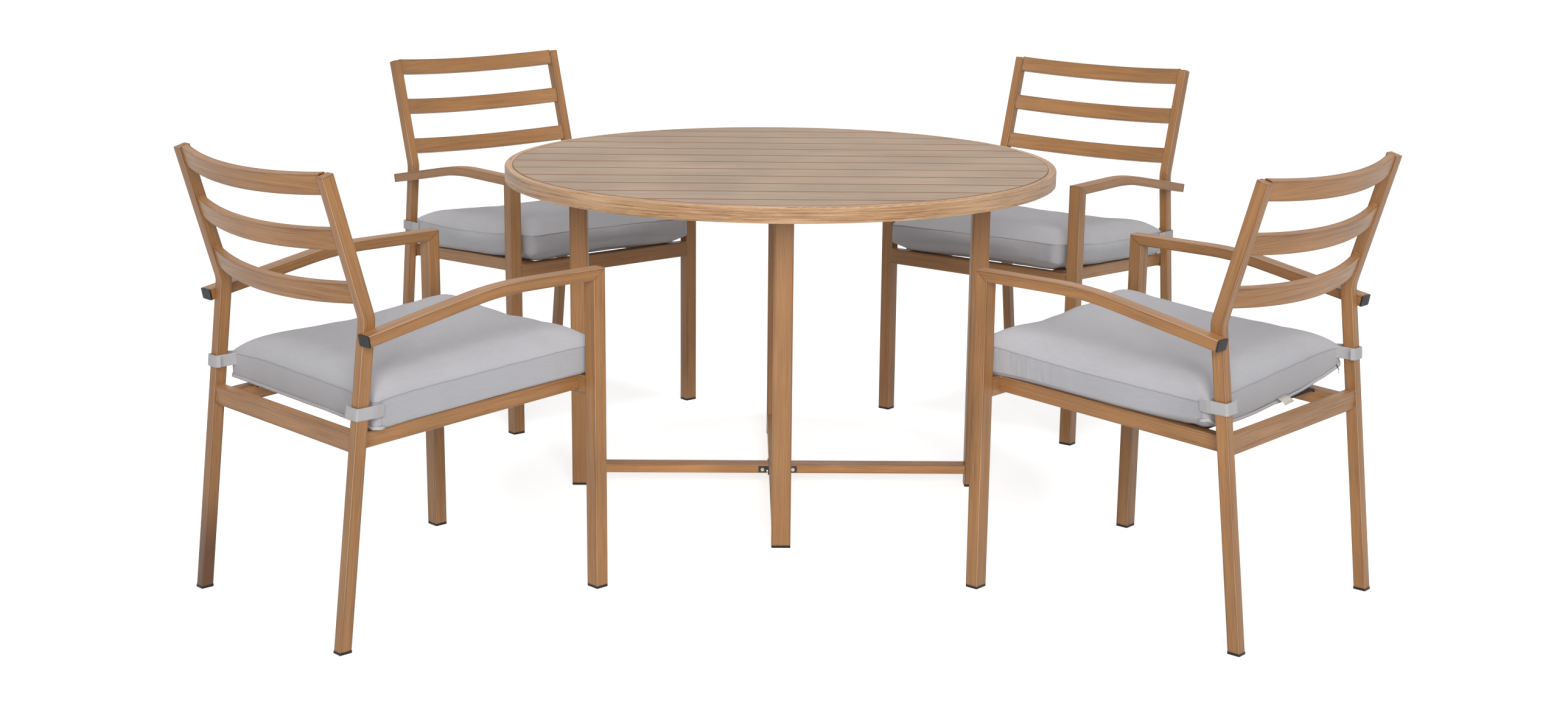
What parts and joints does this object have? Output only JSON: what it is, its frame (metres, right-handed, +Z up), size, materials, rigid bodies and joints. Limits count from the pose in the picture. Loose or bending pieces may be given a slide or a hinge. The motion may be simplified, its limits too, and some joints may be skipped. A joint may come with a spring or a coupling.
{
  "type": "patio dining set",
  "caption": "Round slatted patio table with armchairs around it, bent tube frames in a wood-grain finish, webbing seats and tied box cushions.",
  "frame": {"origin": "middle of the whole set's box, on the floor", "axes": "+Z up; +X to the right and -Y towards the viewer of the picture, so the slats of the table top run along X"},
  "size_m": [2.3297, 2.3126, 0.8775],
  "materials": {
    "frame_paint": "satin wood-grain print on metal tube",
    "top_paint": "satin wood-grain print on folded metal slats",
    "black_plastic": "matte",
    "dark_metal": "satin",
    "bolt_steel": "satin",
    "webbing": "woven",
    "tie_fabric": "woven",
    "cushion_fabric": "woven, light grey"
  },
  "bodies": {
    "table": {"table_rim": "frame_paint", "table_slats": "top_paint", "table_top_rails": "frame_paint", "table_battens": "frame_paint", "table_leg_right": "frame_paint", "table_leg_back": "frame_paint", "table_leg_left": "frame_paint", "table_leg_front": "frame_paint", "table_stretcher": "frame_paint", "table_brackets": "dark_metal", "table_bolts": "bolt_steel", "table_feet": "black_plastic"},
    "chair_front_left": {"chair_front_left_front_leg_left": "frame_paint", "chair_front_left_front_leg_right": "frame_paint", "chair_front_left_arm_left": "frame_paint", "chair_front_left_arm_right": "frame_paint", "chair_front_left_rear_leg_left": "frame_paint", "chair_front_left_rear_leg_right": "frame_paint", "chair_front_left_back_slats": "frame_paint", "chair_front_left_seat_frame": "frame_paint", "chair_front_left_seat_bands": "webbing", "chair_front_left_end_caps": "black_plastic", "chair_front_left_cushion_ties": "tie_fabric"},
    "cushion_front_left": {"chair_front_left_cushion": "cushion_fabric"},
    "chair_front_right": {"chair_front_right_front_leg_left": "frame_paint", "chair_front_right_front_leg_right": "frame_paint", "chair_front_right_arm_left": "frame_paint", "chair_front_right_arm_right": "frame_paint", "chair_front_right_rear_leg_left": "frame_paint", "chair_front_right_rear_leg_right": "frame_paint", "chair_front_right_back_slats": "frame_paint", "chair_front_right_seat_frame": "frame_paint", "chair_front_right_seat_bands": "webbing", "chair_front_right_end_caps": "black_plastic", "chair_front_right_cushion_ties": "tie_fabric"},
    "cushion_front_right": {"chair_front_right_cushion": "cushion_fabric"},
    "chair_rear_left": {"chair_rear_left_front_leg_left": "frame_paint", "chair_rear_left_front_leg_right": "frame_paint", "chair_rear_left_arm_left": "frame_paint", "chair_rear_left_arm_right": "frame_paint", "chair_rear_left_rear_leg_left": "frame_paint", "chair_rear_left_rear_leg_right": "frame_paint", "chair_rear_left_back_slats": "frame_paint", "chair_rear_left_seat_frame": "frame_paint", "chair_rear_left_seat_bands": "webbing", "chair_rear_left_end_caps": "black_plastic", "chair_rear_left_cushion_ties": "tie_fabric"},
    "cushion_rear_left": {"chair_rear_left_cushion": "cushion_fabric"},
    "chair_rear_right": {"chair_rear_right_front_leg_left": "frame_paint", "chair_rear_right_front_leg_right": "frame_paint", "chair_rear_right_arm_left": "frame_paint", "chair_rear_right_arm_right": "frame_paint", "chair_rear_right_rear_leg_left": "frame_paint", "chair_rear_right_rear_leg_right": "frame_paint", "chair_rear_right_back_slats": "frame_paint", "chair_rear_right_seat_frame": "frame_paint", "chair_rear_right_seat_bands": "webbing", "chair_rear_right_end_caps": "black_plastic", "chair_rear_right_cushion_ties": "tie_fabric"},
    "cushion_rear_right": {"chair_rear_right_cushion": "cushion_fabric"}
  },
  "joints": [
    {"name": "chair_front_left_slide", "type": "slide", "parent": "table", "child": "chair_front_left", "axis": [0.7314, 0.682, 0], "range_m": [-0.3, 0.25]},
    {"name": "cushion_front_left_tilt", "type": "hinge", "parent": "chair_front_left", "child": "cushion_front_left", "pos_m": [-0.9259, -0.90909, 0.466], "axis": [0.682, -0.7314, 0], "range_deg": [0, 18]},
    {"name": "chair_front_right_slide", "type": "slide", "parent": "table", "child": "chair_front_right", "axis": [-0.7361, 0.6769, 0], "range_m": [-0.3, 0.25]},
    {"name": "cushion_front_right_tilt", "type": "hinge", "parent": "chair_front_right", "child": "cushion_front_right", "pos_m": [0.92679, -0.89879, 0.49], "axis": [0.6769, 0.7361, 0], "range_deg": [0, 18]},
    {"name": "chair_rear_left_slide", "type": "slide", "parent": "table", "child": "chair_rear_left", "axis": [0.6388, -0.7694, 0], "range_m": [-0.3, 0.25]},
    {"name": "cushion_rear_left_tilt", "type": "hinge", "parent": "chair_rear_left", "child": "cushion_rear_left", "pos_m": [-0.76002, 0.9251, 0.466], "axis": [-0.7694, -0.6388, 0], "range_deg": [0, 18]},
    {"name": "chair_rear_right_slide", "type": "slide", "parent": "table", "child": "chair_rear_right", "axis": [-0.6225, -0.7826, 0], "range_m": [-0.3, 0.25]},
    {"name": "cushion_rear_right_tilt", "type": "hinge", "parent": "chair_rear_right", "child": "cushion_rear_right", "pos_m": [0.81029, 0.85426, 0.466], "axis": [-0.7826, 0.6225, 0], "range_deg": [0, 18]}
  ]
}
